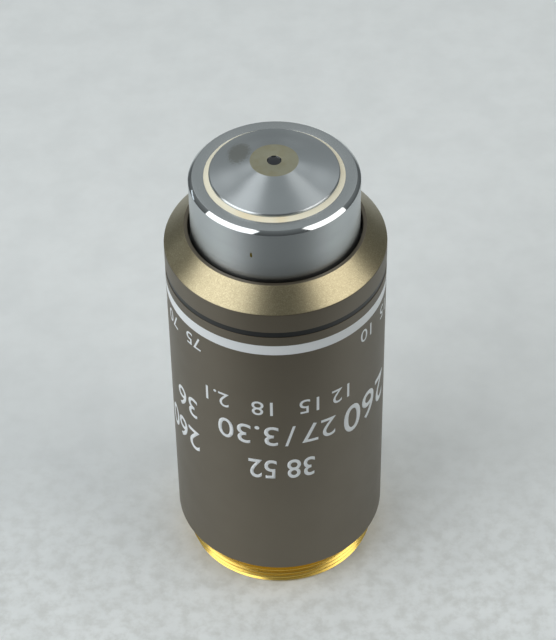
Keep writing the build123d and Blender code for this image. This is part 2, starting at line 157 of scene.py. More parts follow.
def round_corners(bm, corners):
    """Bevels vertices, given as pairs of a vertex and its radius in millimetres."""
    for radius in sorted({r for _, r in corners if r}):
        picked = [v for v, r in corners if r == radius]
        bmesh.ops.bevel(bm, geom=picked, offset=radius * MM, offset_type="OFFSET", segments=ROUND_SEGMENTS,
                        profile=0.5, affect="VERTICES", material=-1)


def spin_outline(bm):
    """Spins the edges of a bmesh once round the optical axis and drops the faces that they bordered."""
    bmesh.ops.delete(bm, geom=bm.faces[:], context="FACES_ONLY")
    bmesh.ops.spin(bm, geom=bm.verts[:] + bm.edges[:], cent=(0, 0, 0), axis=(0, 0, 1), dvec=(0, 0, 0),
                   angle=2 * math.pi, steps=TURN_STEPS, use_merge=True, use_normal_flip=False,
                   use_duplicate=False)
    bmesh.ops.remove_doubles(bm, verts=bm.verts[:], dist=SAME_POINT)
    bmesh.ops.recalc_face_normals(bm, faces=bm.faces[:])


def turned(name, outline, body):
    """A turned piece from corners of (radius, height) or (radius, height, edge radius), in millimetres."""
    bm = bmesh.new()
    corners = [(bm.verts.new((c[0] * MM, 0, c[1] * MM)), c[2] if len(c) > 2 else 0) for c in outline]
    bm.faces.new([v for v, _ in corners])
    round_corners(bm, corners)
    spin_outline(bm)
    piece = new_piece(name, bm, body)
    even_flats(piece)
    print(name, "faces:", len(piece.data.polygons))
    return piece


# %% [markdown]
# ## Barrel: outer sleeve
#
# The long sleeve is a thin tube. Its foot goes over the flange of the base, and a shallow groove near
# the top holds the white ring. All its edges are broken by a few hundredths of a millimetre.

# %% Outer sleeve
BARREL_R = outer_radius("outer_sleeve")
SLEEVE_WALL = 0.85
FOOT_WALL = 0.4
FOOT_CHAMFER = 0.12
SHOULDER_Z = 4.5
FLANGE_TOP_Z = 5.5
GROOVE_DEPTH = 0.3
EDGE = 0.04

foot_z, seam_z = heights("outer_sleeve")
white_bottom_z, white_top_z = heights("magnification_band")
sleeve_bore_r = BARREL_R - SLEEVE_WALL
groove_r = BARREL_R - GROOVE_DEPTH
outer_sleeve = turned("barrel_sleeve", [
    (BARREL_R - FOOT_WALL, foot_z),
    (BARREL_R - FOOT_CHAMFER, foot_z, EDGE),
    (BARREL_R, foot_z + FOOT_CHAMFER, EDGE),
    (BARREL_R, white_bottom_z),
    (groove_r, white_bottom_z),
    (groove_r, white_top_z),
    (BARREL_R, white_top_z),
    (BARREL_R, seam_z, EDGE),
    (sleeve_bore_r, seam_z),
    (sleeve_bore_r, FLANGE_TOP_Z),
    (BARREL_R - FOOT_WALL, FLANGE_TOP_Z),
], "barrel")
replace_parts(outer_sleeve, "outer_sleeve")

# %% [markdown]
# ## Front collar
#
# The collar is one turned ring: a spigot in the sleeve, a rebate for the black ring, a short rim, the
# 45 degree cone that was bead blasted, and a narrow lip round the nose. The crisp edge between cone and
# rim shows as a thin line, so its radius is small but not zero.

# %% Front collar
LIP_WIDTH = 0.47
NOSE_GAP = 0.33
SPIGOT_WALL = 0.8
REBATE_DEPTH = 0.4
STOP_FLANGE_HEIGHT = 1.5
CONE_EDGE_ROUND = 0.09

NOSE_R = 10.4
collar_bottom_z, lip_z = heights("front_collar")
black_bottom_z, black_top_z = heights("immersion_band")
nose_bottom_z, nose_face_z = heights("nose_sleeve")
ledge_z = nose_bottom_z + STOP_FLANGE_HEIGHT
collar_bore_r = NOSE_R + NOSE_GAP
lip_r = collar_bore_r + LIP_WIDTH
collar_edge_z = lip_z - (BARREL_R - lip_r)
counterbore_r = sleeve_bore_r - SPIGOT_WALL
rebate_r = BARREL_R - REBATE_DEPTH
front_collar = turned("collar_ring", [
    (counterbore_r, collar_bottom_z),
    (sleeve_bore_r, collar_bottom_z),
    (sleeve_bore_r, black_bottom_z),
    (rebate_r, black_bottom_z),
    (rebate_r, black_top_z),
    (BARREL_R, black_top_z, EDGE),
    (BARREL_R, collar_edge_z, CONE_EDGE_ROUND),
    (lip_r, lip_z, EDGE),
    (collar_bore_r, lip_z, 2 * EDGE),
    (collar_bore_r, ledge_z),
    (counterbore_r, ledge_z),
], "barrel")
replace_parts(front_collar, "front_collar")

# %% [markdown]
# ## Nose sleeve, front cone and seal
#
# The nose sleeve has a wide polished chamfer, which the softboxes light up as white arcs. The front cone
# is screwed into it. It carries the front lens in a small flat land, and its slope is turned so finely
# that it mirrors the softboxes as two pale wedges.

# %% Nose sleeve
NOSE_CHAMFER = 0.46
NOSE_WALL = 1.0
RIM_WIDTH = 1.87
STOP_FLANGE_CLEARANCE = 0.2

neck_r = NOSE_R - NOSE_WALL
seal_r = NOSE_R - RIM_WIDTH
stop_flange_r = counterbore_r - STOP_FLANGE_CLEARANCE
neck_top_z = heights("front_cone")[0]
nose_sleeve = turned("nose_shell", [
    (neck_r, nose_bottom_z),
    (stop_flange_r, nose_bottom_z, EDGE),
    (stop_flange_r, ledge_z, EDGE),
    (NOSE_R, ledge_z),
    (NOSE_R, nose_face_z - NOSE_CHAMFER, EDGE),
    (NOSE_R - NOSE_CHAMFER, nose_face_z, EDGE),
    (seal_r, nose_face_z, EDGE),
    (seal_r, neck_top_z),
    (neck_r, neck_top_z),
], "nose")
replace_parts(nose_sleeve, "nose_sleeve")

# %% [markdown]
# The cone's outline goes round the whole section: the land and the slope outside, the flare over the
# next lens cell inside. Its edges are sharper than the barrel's, only a few hundredths round.

# %% Front cone
SEAL_WIDTH = 0.63
CONE_HEIGHT = 1.69
CONE_CHAMFER = 0.12
LAND_R = 2.92
LENS_FACE_R = 0.87
LENS_FACE_DEPTH = 0.25
LENS_SEAT_WIDTH = 0.53
LENS_EDGE = 0.4
LENS_BORE = 0.3
FLARE_WIDTH = 1.2
FINE_EDGE = 0.02

tip_z = heights("front_cone")[1]
cone_edge_r = seal_r - SEAL_WIDTH
cone_edge_z = tip_z - CONE_HEIGHT
cone_slope = CONE_HEIGHT / (cone_edge_r - LAND_R)
meniscus_cell_r = outer_radius("meniscus_cell")
meniscus_top_z = heights("meniscus_cell")[1]
seal_bottom_z = heights("seal_ring")[0]
lens_seat_r = LENS_FACE_R + LENS_SEAT_WIDTH
seat_bottom_z = tip_z - LENS_FACE_DEPTH - LENS_SEAT_WIDTH
front_cone = turned("cone_cell", [
    (LENS_FACE_R, tip_z, FINE_EDGE),
    (LAND_R, tip_z, FINE_EDGE),
    (cone_edge_r - CONE_CHAMFER, cone_edge_z + cone_slope * CONE_CHAMFER, FINE_EDGE),
    (cone_edge_r, cone_edge_z - CONE_CHAMFER, FINE_EDGE),
    (cone_edge_r, seal_bottom_z),
    (seal_r, seal_bottom_z),
    (seal_r, neck_top_z),
    (meniscus_cell_r, neck_top_z),
    (meniscus_cell_r, meniscus_top_z),
    (lens_seat_r + FLARE_WIDTH, meniscus_top_z),
    (lens_seat_r, seat_bottom_z - LENS_EDGE - LENS_BORE),
    (lens_seat_r, seat_bottom_z),
    (LENS_FACE_R, tip_z - LENS_FACE_DEPTH),
], "nose")
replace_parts(front_cone, "front_cone")

# %% [markdown]
# A cream compound seals the joint between cone and sleeve. Compound shrinks a little as it sets, so the
# seal's face is a shallow hollow, and it climbs from the sleeve to the cone's edge.

# %% Seal
SEAL_DIP = 0.03
SEAL_CLIMB = 0.3
SEAL_HOLLOW = 0.06

seal_middle_r = (cone_edge_r + seal_r) / 2
seal_outer_z = nose_face_z - SEAL_DIP
seal_ring = turned("seal_bead", [
    (cone_edge_r, seal_bottom_z),
    (seal_r, seal_bottom_z),
    (seal_r, seal_outer_z),
    (seal_middle_r, seal_outer_z + SEAL_CLIMB / 2 - SEAL_HOLLOW, 2 * SEAL_HOLLOW),
    (cone_edge_r, seal_outer_z + SEAL_CLIMB),
], "nose")
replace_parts(seal_ring, "seal_ring")

# %% [markdown]
# ## Front lens
#
# The front lens is the smallest piece and the one everything else serves. Its face is a very shallow dome
# in a polished bevel, so the softboxes show in it as small sharp points. Its hidden back is most of a
# half ball. The outline starts and ends on the axis, so the spin closes it without a face to delete.

# %% Front lens
LENS_DOME_R = 4.0
LENS_BEVEL = 0.06
ARC_STEPS = 12

lens_bottom_z, lens_face_z = heights("front_lens")
dome_r = LENS_FACE_R - LENS_BEVEL
back_rim_z = seat_bottom_z - LENS_EDGE
back_depth = back_rim_z - lens_bottom_z
back_r = (lens_seat_r ** 2 + back_depth ** 2) / (2 * back_depth)


def lens_arc(ball_r, pole_z, side, rim_r):
    """Points of a lens surface from the axis out to its rim. Side is 1 for a dome that rises."""
    angle = math.asin(rim_r / ball_r)
    turns = [angle * step / ARC_STEPS for step in range(ARC_STEPS + 1)]
    return [(ball_r * math.sin(a), pole_z - side * ball_r * (1 - math.cos(a))) for a in turns]


front_arc = lens_arc(LENS_DOME_R, lens_face_z, 1, dome_r)
back_arc = lens_arc(back_r, lens_bottom_z, -1, lens_seat_r)
outline = [*front_arc, (LENS_FACE_R, front_arc[-1][1] - LENS_BEVEL), (LENS_FACE_R, tip_z - LENS_FACE_DEPTH),
           (lens_seat_r, seat_bottom_z), *reversed(back_arc)]
bm = bmesh.new()
points = [bm.verts.new((r * MM, 0, z * MM)) for r, z in outline]
for first, second in zip(points, points[1:]):
    bm.edges.new((first, second))
spin_outline(bm)
print("lens: open edges left", sum(e.is_boundary for e in bm.edges), "faces", len(bm.faces))
front_lens = new_piece("domed_front_lens", bm, "nose")
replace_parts(front_lens, "front_lens")

# %% [markdown]
# ## Mounting thread
#
# A thread is a spin that also climbs: each step of the spin turns the outline a little and lifts it by
# the same share of the pitch. After one turn the outline lies on its own next tooth, so merging the
# doubles closes the helix. Two cuts trim it to length, a cone clamps the crests at the lead, and the
# open border is then extruded ring by ring through the rest of the base.

# %% Threaded base
THREAD_SHARP = math.radians(25)
THREAD_R = 12.5
PITCH = 0.75
THREAD_DEPTH = 0.406
CREST_FLAT = PITCH / 8
ROOT_FLAT = PITCH / 4
THREAD_LEAD = 0.4
THREAD_TOP_Z = 3.8
RELIEF_R = 11.95
UNDERCUT = 0.1
BASE_BORE_R = 10.9
GUIDE_R = 11.3
GUIDE_BORE_R = 10.0
GUIDE_SEAT_Z = 6.5

flank = (PITCH - CREST_FLAT - ROOT_FLAT) / 2
root_r = THREAD_R - THREAD_DEPTH
spigot_top_z = heights("threaded_base")[1]
flange_r = BARREL_R - FOOT_WALL


def open_border(bm, height):
    """The open edges at one height."""
    return [e for e in bm.edges if e.is_boundary and all(abs(v.co.z - height * MM) < 1e-6 for v in e.verts)]


def carry_on(bm, border, rings):
    """Extrudes a round open border through rings of (radius, height) in millimetres."""
    for radius, height in rings:
        made = bmesh.ops.extrude_edge_only(bm, edges=border)["geom"]
        ring = {v for v in made if isinstance(v, bmesh.types.BMVert)}
        for v in ring:
            v.co = (v.co.xy.normalized() * radius * MM).to_3d() + Vector((0, 0, height * MM))
        border = [e for e in made if isinstance(e, bmesh.types.BMEdge) and set(e.verts) <= ring]
    return border


bm = bmesh.new()
tooth = [(root_r, 0), (root_r, ROOT_FLAT), (THREAD_R, ROOT_FLAT + flank), (THREAD_R, PITCH - flank)]
teeth = math.ceil(THREAD_TOP_Z / PITCH) + 2
points = [(r, z + (turn - 1) * PITCH) for turn in range(teeth) for r, z in tooth]
line = [bm.verts.new((r * MM, 0, z * MM)) for r, z in points]
for lower, upper in zip(line, line[1:]):
    bm.edges.new((lower, upper))
bmesh.ops.spin(bm, geom=bm.verts[:] + bm.edges[:], cent=(0, 0, 0), axis=(0, 0, 1), angle=2 * math.pi,
               dvec=(0, 0, PITCH * MM / TURN_STEPS), steps=TURN_STEPS, use_merge=False,
               use_normal_flip=False, use_duplicate=False)
bmesh.ops.remove_doubles(bm, verts=bm.verts[:], dist=1e-6)
for height, side in ((0, -1), (THREAD_TOP_Z, 1)):
    bmesh.ops.bisect_plane(bm, geom=bm.verts[:] + bm.edges[:] + bm.faces[:], dist=SAME_POINT,
                           plane_co=(0, 0, height * MM), plane_no=(0, 0, side), clear_outer=True)
for v in bm.verts:
    limit = (THREAD_R - THREAD_LEAD) * MM + v.co.z
    if v.co.z < THREAD_LEAD * MM and v.co.xy.length > limit:
        v.co.xy = v.co.xy.normalized() * limit
lower_border = carry_on(bm, open_border(bm, 0), [(BASE_BORE_R, 0)])
upper_border = carry_on(bm, open_border(bm, THREAD_TOP_Z), [
    (RELIEF_R, THREAD_TOP_Z),
    (RELIEF_R, SHOULDER_Z + UNDERCUT),
    (THREAD_R + UNDERCUT, SHOULDER_Z + UNDERCUT),
    (THREAD_R + UNDERCUT, SHOULDER_Z),
    (flange_r - EDGE, SHOULDER_Z),
    (flange_r, SHOULDER_Z + EDGE),
    (flange_r, FLANGE_TOP_Z),
    (sleeve_bore_r, FLANGE_TOP_Z),
    (sleeve_bore_r, spigot_top_z),
    (GUIDE_R, spigot_top_z),
    (GUIDE_R, GUIDE_SEAT_Z),
    (GUIDE_BORE_R, GUIDE_SEAT_Z),
    (GUIDE_BORE_R, FLANGE_TOP_Z),
    (BASE_BORE_R, FLANGE_TOP_Z),
])
bmesh.ops.bridge_loops(bm, edges=lower_border + upper_border)
bmesh.ops.recalc_face_normals(bm, faces=bm.faces[:])
print("thread: open edges left", sum(e.is_boundary for e in bm.edges), "faces", len(bm.faces))
threaded_base = new_piece("thread_ring", bm, "barrel", sharp=THREAD_SHARP)
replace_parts(threaded_base, "threaded_base")

# %% [markdown]
# ## Return spring
#
# The spring is hidden in the barrel, but it has to shorten when the nose is pushed in. It is one circle
# spun three times: a closed turn, the open turns and a closed turn, each with its own rise. Both ends are
# cut flat where they seat, as a ground spring's are.

# %% Return spring
WIRE_R = 0.5
CLOSED_PITCH = 2.1 * WIRE_R
GROUND = 0.7 * WIRE_R
OPEN_TURNS = 3
SPRING_STEPS = 72
WIRE_SIDES = 16

spring_bottom_z, spring_top_z = heights("guide_tube")[1], nose_bottom_z
lens_tube_r = outer_radius("lens_tube")
spring_r = (lens_tube_r + counterbore_r) / 2
first_turn_z = spring_bottom_z + WIRE_R - GROUND
open_rise = (spring_top_z - WIRE_R + GROUND - CLOSED_PITCH) - (first_turn_z + CLOSED_PITCH)
bm = bmesh.new()
place = Matrix.Translation((spring_r * MM, 0, first_turn_z * MM)) @ Matrix.Rotation(math.pi / 2, 4, "X")
bmesh.ops.create_circle(bm, cap_ends=True, segments=WIRE_SIDES, radius=WIRE_R * MM, matrix=place)
end_ring = bm.edges[:]
for turns, rise in ((1, CLOSED_PITCH), (OPEN_TURNS, open_rise), (1, CLOSED_PITCH)):
    steps = SPRING_STEPS * turns
    ring_verts = list({v for e in end_ring for v in e.verts})
    made = bmesh.ops.spin(bm, geom=ring_verts + end_ring, cent=(0, 0, 0), axis=(0, 0, 1),
                          angle=2 * math.pi * turns, dvec=(0, 0, rise * MM / steps), steps=steps,
                          use_merge=False, use_normal_flip=False, use_duplicate=False)
    end_ring = [e for e in made["geom_last"] if isinstance(e, bmesh.types.BMEdge)]
bmesh.ops.contextual_create(bm, geom=end_ring)
for height, side in ((spring_bottom_z, -1), (spring_top_z, 1)):
    bmesh.ops.bisect_plane(bm, geom=bm.verts[:] + bm.edges[:] + bm.faces[:], dist=SAME_POINT,
                           plane_co=(0, 0, height * MM), plane_no=(0, 0, side), clear_outer=True)
    cut = open_border(bm, height)
    bmesh.ops.triangle_fill(bm, use_beauty=True, use_dissolve=False, edges=cut)
bmesh.ops.recalc_face_normals(bm, faces=bm.faces[:])
print("spring: open edges left", sum(e.is_boundary for e in bm.edges), "faces", len(bm.faces))
return_spring = new_piece("wound_spring", bm, "barrel", sharp=THREAD_SHARP)
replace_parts(return_spring, "return_spring")
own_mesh(return_spring)

# %% [markdown]
# ## Printed numbers
#
# The real barrel carries printed lettering. Here its place holds plain numbers, in the same sizes and
# rows, upside down while the nose points up. Blender's own font gives flat faces. They are cut into
# narrow strips, wrapped round the sleeve and given the thickness of an ink film, so the print lies on
# the barrel from every side.

# %% Numbers
INK_LIFT = 0.004
INK_THICKNESS = 0.012
STRIP = 0.35
CURVE_STEPS = 6


def print_number(name, text, azimuth, baseline_z, cap_height, weight=0.0, squeeze=1.0):
    """Prints text on the sleeve. It starts at an azimuth, in degrees to the right of the front, runs to
    the left, and stands on a baseline with its top towards the thread."""
    curve = bpy.data.curves.new(name, "FONT")
    curve.body = text
    curve.offset = weight
    curve.resolution_u = CURVE_STEPS
    flat = bpy.data.objects.new(name, curve)
    bpy.context.scene.collection.objects.link(flat)
    bpy.context.view_layer.update()
    mesh = bpy.data.meshes.new_from_object(flat.evaluated_get(bpy.context.evaluated_depsgraph_get()))
    bpy.data.objects.remove(flat)
    bm = bmesh.new()
    bm.from_mesh(mesh)
    bpy.data.meshes.remove(mesh)
    bmesh.ops.remove_doubles(bm, verts=bm.verts[:], dist=1e-5)
    tall = max(v.co.y for v in bm.verts)
    size = cap_height * MM / tall
    bmesh.ops.transform(bm, matrix=Matrix.Diagonal((size * squeeze, size, size, 1)), verts=bm.verts[:])
    wide = max(v.co.x for v in bm.verts)
    for strip in range(1, math.ceil(wide / (STRIP * MM))):
        bmesh.ops.bisect_plane(bm, geom=bm.verts[:] + bm.edges[:] + bm.faces[:], dist=SAME_POINT,
                               plane_co=(strip * STRIP * MM, 0, 0), plane_no=(1, 0, 0))
    bmesh.ops.triangulate(bm, faces=bm.faces[:])
    lift = (BARREL_R + INK_LIFT) * MM
    for v in bm.verts:
        turn = math.radians(azimuth) - v.co.x / lift
        v.co = Vector((lift * math.sin(turn), -lift * math.cos(turn), baseline_z * MM - v.co.y))
    bmesh.ops.recalc_face_normals(bm, faces=bm.faces[:])
    if sum(f.normal.dot(f.calc_center_median() * Vector((1, 1, 0))) for f in bm.faces) < 0:
        bmesh.ops.reverse_faces(bm, faces=bm.faces[:])
    made = bmesh.ops.extrude_face_region(bm, geom=bm.faces[:], use_keep_orig=True)["geom"]
    for v in made:
        if isinstance(v, bmesh.types.BMVert):
            v.co += (v.co * Vector((1, 1, 0))).normalized() * INK_THICKNESS * MM
    bmesh.ops.recalc_face_normals(bm, faces=bm.faces[:])
    piece = new_piece(name, bm, "barrel", smooth=False)
    print(name, "ends at azimuth", round(azimuth - math.degrees(wide / lift), 1))
    return piece


LARGE_ROW_Z, BOLD_ROW_Z, BACK_ROW_Z, SMALL_ROW_Z, RING_ROW_Z = 32.1, 25.9, 26.2, 36.6, 44.0
LARGE_CAP, BACK_CAP, MIDDLE_CAP, SMALL_CAP, RING_CAP = 4.7, 3.6, 3.4, 2.4, 2.0
prints = [
    print_number("number_large", "260", 76, LARGE_ROW_Z, LARGE_CAP, 0.006, 0.95),
    print_number("number_middle_right", "27", 32, LARGE_ROW_Z, 3.3),
    print_number("number_stroke", "/", 9, LARGE_ROW_Z, 3.5),
    print_number("number_middle", "3.30", 1, LARGE_ROW_Z, MIDDLE_CAP, 0.004),
    print_number("number_left", "36", -47, LARGE_ROW_Z, MIDDLE_CAP, 0.004),
    print_number("number_small_right", "12 15", 43, SMALL_ROW_Z, SMALL_CAP),
    print_number("number_small_middle", "18", 0, SMALL_ROW_Z, SMALL_CAP),
    print_number("number_small_left", "2.1", -26, SMALL_ROW_Z, SMALL_CAP),
    print_number("number_bold", "38 52", 20, BOLD_ROW_Z, MIDDLE_CAP, 0.008, 0.8),
    print_number("number_back_large", "260", -47, BACK_ROW_Z, BACK_CAP, 0.006),
    print_number("number_back_middle", "/ 3.30", -96, BACK_ROW_Z, MIDDLE_CAP, 0.004),
]
RING_NUMBERS = [str(5 * n) for n in range(2, 16)]
RING_START, RING_STEP = 60, 19.8
prints += [
    print_number(f"ring_number_{text}", text, RING_START + RING_STEP * place, RING_ROW_Z, RING_CAP)
    for place, text in enumerate(RING_NUMBERS)
]

# %% [markdown]
# ## Shared effects
#
# An effect that several finishes need is a node group: turning marks, a blasted grain, dust, and masks
# that pick a place. Each puts out a mask or a height, and the material decides what to do with it. All of
# them read Object coordinates, so a pattern stays on its piece and goes with it.

# %% Node groups
def new_group(name, inputs, outputs):
    """A shader node group with named float and vector sockets."""
    group = bpy.data.node_groups.new(name, "ShaderNodeTree")
    for label, kind, value in inputs:
        socket = group.interface.new_socket(label, in_out="INPUT", socket_type=kind)
        if value is not None:
            socket.default_value = value
    for label, kind in outputs:
        group.interface.new_socket(label, in_out="OUTPUT", socket_type=kind)
    return group, group.nodes.new("NodeGroupInput"), group.nodes.new("NodeGroupOutput")


def math_node(tree, operation, first, second=None, third=None):
    """A Math node with its inputs linked or set."""
    node = tree.nodes.new("ShaderNodeMath")
    node.operation = operation
    for socket, value in zip(node.inputs, (first, second, third)):
        if isinstance(value, bpy.types.NodeSocket):
            tree.links.new(value, socket)
        elif value is not None:
            socket.default_value = value
    return node.outputs[0]


def map_range(tree, value, low, high, to_low=0.0, to_high=1.0):
    """A clamped, smooth remap of a value."""
    node = tree.nodes.new("ShaderNodeMapRange")
    node.interpolation_type = "SMOOTHSTEP"
    tree.links.new(value, node.inputs["Value"])
    for label, number in (("From Min", low), ("From Max", high), ("To Min", to_low), ("To Max", to_high)):
        node.inputs[label].default_value = number
    return node.outputs["Result"]


def noise(tree, vector, scale, detail=2.0, roughness=0.5, dimensions="3D"):
    """A Noise Texture's value. In one dimension the vector is a plain number."""
    node = tree.nodes.new("ShaderNodeTexNoise")
    node.noise_dimensions = dimensions
    tree.links.new(vector, node.inputs["W" if dimensions == "1D" else "Vector"])
    if isinstance(scale, bpy.types.NodeSocket):
        tree.links.new(scale, node.inputs["Scale"])
    else:
        node.inputs["Scale"].default_value = scale
    node.inputs["Detail"].default_value = detail
    node.inputs["Roughness"].default_value = roughness
    return node.outputs[0]


# %% [markdown]
# Turning marks follow the tool round the axis. On a face they are rings and on a cylinder they are
# hoops, so the pattern is a one-dimensional noise along radius plus height, and one group does for both.

# %% Turning marks
HEIGHT_SHARE = 0.83
BROAD_MARKS_PER_METRE = 900.0

turning_marks, group_in, group_out = new_group(
    "turning_marks",
    [("Vector", "NodeSocketVector", None), ("Marks Per Metre", "NodeSocketFloat", 9000.0)],
    [("Height", "NodeSocketFloat"), ("Broad", "NodeSocketFloat")],
)
split = turning_marks.nodes.new("ShaderNodeSeparateXYZ")
turning_marks.links.new(group_in.outputs["Vector"], split.inputs[0])
across = math_node(turning_marks, "MULTIPLY", split.outputs["X"], split.outputs["X"])
radius_squared = math_node(turning_marks, "MULTIPLY_ADD", split.outputs["Y"], split.outputs["Y"], across)
radius_value = math_node(turning_marks, "SQRT", radius_squared)
along_tool = math_node(turning_marks, "MULTIPLY_ADD", split.outputs["Z"], HEIGHT_SHARE, radius_value)
fine_marks = noise(turning_marks, along_tool, group_in.outputs["Marks Per Metre"], 3.0, 0.7, "1D")
turning_marks.links.new(fine_marks, group_out.inputs["Height"])
broad_marks = noise(turning_marks, along_tool, BROAD_MARKS_PER_METRE, 2.0, 0.6, "1D")
turning_marks.links.new(broad_marks, group_out.inputs["Broad"])
print(turning_marks.name, "nodes:", len(turning_marks.nodes))

# %% [markdown]
# Blasting leaves shallow dents about a tenth of a millimetre across. Seen from a step away they are a
# sparkle: single facets catch the light and their neighbours don't. One random number per Voronoi cell
# picks the bright and the dark ones, and the finish paints them into its colour as painted glints and
# painted shade.

# %% Blasted grain
blasted_grain, group_in, group_out = new_group(
    "blasted_grain",
    [("Vector", "NodeSocketVector", None), ("Grain Per Metre", "NodeSocketFloat", 5000.0)],
    [("Height", "NodeSocketFloat"), ("Painted Sparkle", "NodeSocketFloat")],
)
dents = noise(blasted_grain, group_in.outputs["Vector"], group_in.outputs["Grain Per Metre"], 2.0, 0.6)
blasted_grain.links.new(dents, group_out.inputs["Height"])
cells = blasted_grain.nodes.new("ShaderNodeTexVoronoi")
blasted_grain.links.new(group_in.outputs["Vector"], cells.inputs["Vector"])
blasted_grain.links.new(group_in.outputs["Grain Per Metre"], cells.inputs["Scale"])
cell_value = blasted_grain.nodes.new("ShaderNodeSeparateColor")
blasted_grain.links.new(cells.outputs["Color"], cell_value.inputs[0])
blasted_grain.links.new(cell_value.outputs[0], group_out.inputs["Painted Sparkle"])
print(blasted_grain.name, "nodes:", len(blasted_grain.nodes))

# %% [markdown]
# Dust is sparse. A Voronoi cell either holds a speck near its middle or nothing, which one random
# number per cell decides.

# %% Dust
dust_specks, group_in, group_out = new_group(
    "dust_specks",
    [("Vector", "NodeSocketVector", None), ("Cells Per Metre", "NodeSocketFloat", 420.0),
     ("Share", "NodeSocketFloat", 0.12), ("Size", "NodeSocketFloat", 0.05)],
    [("Mask", "NodeSocketFloat")],
)
specks = dust_specks.nodes.new("ShaderNodeTexVoronoi")
dust_specks.links.new(group_in.outputs["Vector"], specks.inputs["Vector"])
dust_specks.links.new(group_in.outputs["Cells Per Metre"], specks.inputs["Scale"])
speck_value = dust_specks.nodes.new("ShaderNodeSeparateColor")
dust_specks.links.new(specks.outputs["Color"], speck_value.inputs[0])
held = math_node(dust_specks, "LESS_THAN", speck_value.outputs[0], group_in.outputs["Share"])
speck_size = math_node(dust_specks, "MULTIPLY", speck_value.outputs[1], group_in.outputs["Size"])
near = math_node(dust_specks, "LESS_THAN", specks.outputs["Distance"], speck_size)
dust_specks.links.new(math_node(dust_specks, "MULTIPLY", held, near), group_out.inputs["Mask"])
print(dust_specks.name, "nodes:", len(dust_specks.nodes))

# %% [markdown]
# Two masks say where on a piece something is. One is a ring, between two radii and two heights, as the
# polished chamfers are. The other is a spot round a point, with a ragged edge, for a mark or a smudge.

# %% Places on a piece
ring_place, group_in, group_out = new_group(
    "ring_place",
    [("Vector", "NodeSocketVector", None),
     ("Inner", "NodeSocketFloat", 0.0), ("Outer", "NodeSocketFloat", 1.0),
     ("Bottom", "NodeSocketFloat", 0.0), ("Top", "NodeSocketFloat", 1.0)],
    [("Mask", "NodeSocketFloat")],
)
split = ring_place.nodes.new("ShaderNodeSeparateXYZ")
ring_place.links.new(group_in.outputs["Vector"], split.inputs[0])
across = math_node(ring_place, "MULTIPLY", split.outputs["X"], split.outputs["X"])
radius_squared = math_node(ring_place, "MULTIPLY_ADD", split.outputs["Y"], split.outputs["Y"], across)
radius_value = math_node(ring_place, "SQRT", radius_squared)
mask = math_node(ring_place, "GREATER_THAN", radius_value, group_in.outputs["Inner"])
for operation, value, limit in (
    ("LESS_THAN", radius_value, "Outer"),
    ("GREATER_THAN", split.outputs["Z"], "Bottom"),
    ("LESS_THAN", split.outputs["Z"], "Top"),
):
    test = math_node(ring_place, operation, value, group_in.outputs[limit])
    mask = math_node(ring_place, "MULTIPLY", mask, test)
ring_place.links.new(mask, group_out.inputs["Mask"])
print(ring_place.name, "nodes:", len(ring_place.nodes))

# %% Spot
RAGGED_PER_METRE = 4000.0

spot, group_in, group_out = new_group(
    "spot",
    [("Vector", "NodeSocketVector", None), ("Point", "NodeSocketVector", (0, 0, 0)),
     ("Shape", "NodeSocketVector", (1, 1, 1)), ("Size", "NodeSocketFloat", 0.001)],
    [("Mask", "NodeSocketFloat")],
)
offset = spot.nodes.new("ShaderNodeVectorMath")
offset.operation = "SUBTRACT"
spot.links.new(group_in.outputs["Vector"], offset.inputs[0])
spot.links.new(group_in.outputs["Point"], offset.inputs[1])
shaped = spot.nodes.new("ShaderNodeVectorMath")
shaped.operation = "MULTIPLY"
spot.links.new(offset.outputs["Vector"], shaped.inputs[0])
spot.links.new(group_in.outputs["Shape"], shaped.inputs[1])
distance = spot.nodes.new("ShaderNodeVectorMath")
distance.operation = "LENGTH"
spot.links.new(shaped.outputs["Vector"], distance.inputs[0])
share = math_node(spot, "DIVIDE", distance.outputs["Value"], group_in.outputs["Size"])
raggedness = noise(spot, group_in.outputs["Vector"], RAGGED_PER_METRE, 3.0)
ragged = math_node(spot, "MULTIPLY_ADD", raggedness, 0.9, share)
spot.links.new(map_range(spot, ragged, 1.5, 1.1), group_out.inputs["Mask"])
print(spot.name, "nodes:", len(spot.nodes))

# %% [markdown]
# ## Finishes
#
# A material starts from its base colour and then takes what its surface has: marks, grain, dust. The
# steps are short functions on a small holder, so that each finish below reads as a recipe.

# %% Material helper
def rgb(red, green, blue):
    """An sRGB colour of 0 to 255 as Blender's linear one."""
    return tuple(pow(c / 255, 2.2) for c in (red, green, blue)) + (1.0,)


